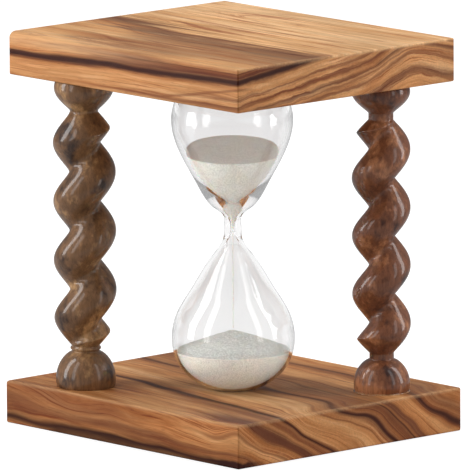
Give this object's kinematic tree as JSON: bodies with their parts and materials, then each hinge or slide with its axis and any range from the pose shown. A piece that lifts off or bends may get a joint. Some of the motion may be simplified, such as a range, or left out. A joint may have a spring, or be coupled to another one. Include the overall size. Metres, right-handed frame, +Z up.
{
  "type": "hourglass",
  "caption": "Wooden sand timer: olive-wood plates joined by barley-twist columns, with a blown glass vial of white sand standing between them in round seats.",
  "frame": {"origin": "centre of the base plate's underside, where the timer stands", "axes": "+Z up through the plates; +X along the plates' length and grain, +Y across it; the columns stand near the -X-Y and +X+Y corners"},
  "size_m": [0.0876, 0.0754, 0.1],
  "materials": {
    "base_wood": "satin oiled olive wood with dark streaks",
    "top_wood": "satin oiled olive wood with dark streaks",
    "left_column_wood": "glossy varnished brown",
    "right_column_wood": "glossy varnished red-brown",
    "dowel_wood": "raw beech",
    "felt": "thin pressed felt",
    "glass": "clear blown glass",
    "cork": "cork",
    "sand": "fine white-grey sand"
  },
  "bodies": {
    "frame": {"base_plate": "base_wood", "top_plate": "top_wood", "left_column": "left_column_wood", "right_column": "right_column_wood", "left_base_dowel": "dowel_wood", "left_top_dowel": "dowel_wood", "right_base_dowel": "dowel_wood", "right_top_dowel": "dowel_wood", "base_seat_pad": "felt", "top_seat_pad": "felt"},
    "vial": {"glass_vial": "glass", "fill_plug": "cork", "upper_sand": "sand", "falling_sand": "sand", "lower_sand": "sand"}
  },
  "joints": [
    {"name": "vial_spin", "type": "hinge", "parent": "frame", "child": "vial", "pos_m": [0.0049, -0.0042, 0.0507], "axis": [0, 0, 1], "continuous": true}
  ]
}
